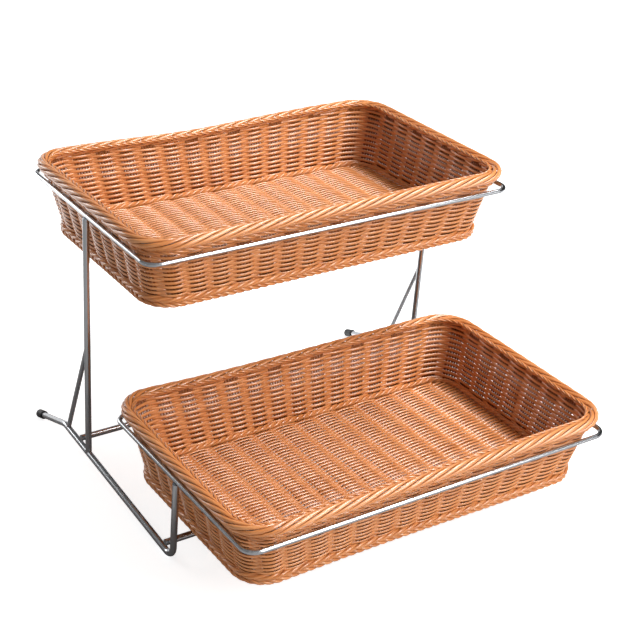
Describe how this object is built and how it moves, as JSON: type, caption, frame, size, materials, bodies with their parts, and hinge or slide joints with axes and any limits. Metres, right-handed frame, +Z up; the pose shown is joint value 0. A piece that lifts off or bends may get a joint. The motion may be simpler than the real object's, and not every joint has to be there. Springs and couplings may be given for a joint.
{
  "type": "basket display stand",
  "caption": "Chromed wire display stand with woven cane-look baskets hung in tiered rings, for bread or fruit on a counter.",
  "frame": {"origin": "on the floor, under the middle of the stand's outline in plan", "axes": "+X to the right, +Y to the back, +Z up"},
  "size_m": [0.517, 0.5612, 0.3856],
  "materials": {
    "chromed_steel": "bright plated",
    "cap_plastic": "matt black",
    "woven_cane": "satin woven polypropylene cane",
    "hoop_steel": "drawn wire"
  },
  "bodies": {
    "frame": {"left_side_rail": "chromed_steel", "right_side_rail": "chromed_steel", "left_rear_upright": "chromed_steel", "right_rear_upright": "chromed_steel", "left_strut": "chromed_steel", "right_strut": "chromed_steel", "front_cross_bar": "chromed_steel", "rear_cross_bar": "chromed_steel", "upper_ring": "chromed_steel", "lower_ring": "chromed_steel", "left_foot_cap": "cap_plastic", "right_foot_cap": "cap_plastic"},
    "upper_basket": {"upper_basket_wall": "woven_cane", "upper_basket_floor": "woven_cane", "upper_basket_rim": "woven_cane", "upper_basket_rim_wire": "hoop_steel", "upper_basket_foot_border": "woven_cane"},
    "lower_basket": {"lower_basket_wall": "woven_cane", "lower_basket_floor": "woven_cane", "lower_basket_rim": "woven_cane", "lower_basket_rim_wire": "hoop_steel", "lower_basket_foot_border": "woven_cane"}
  },
  "joints": [
    {"name": "upper_basket_lift", "type": "slide", "parent": "frame", "child": "upper_basket", "axis": [0, -0.0297, 0.9996], "range_m": [0, 0.15]},
    {"name": "lower_basket_lift", "type": "slide", "parent": "frame", "child": "lower_basket", "axis": [0, -0.0297, 0.9996], "range_m": [0, 0.12]}
  ]
}
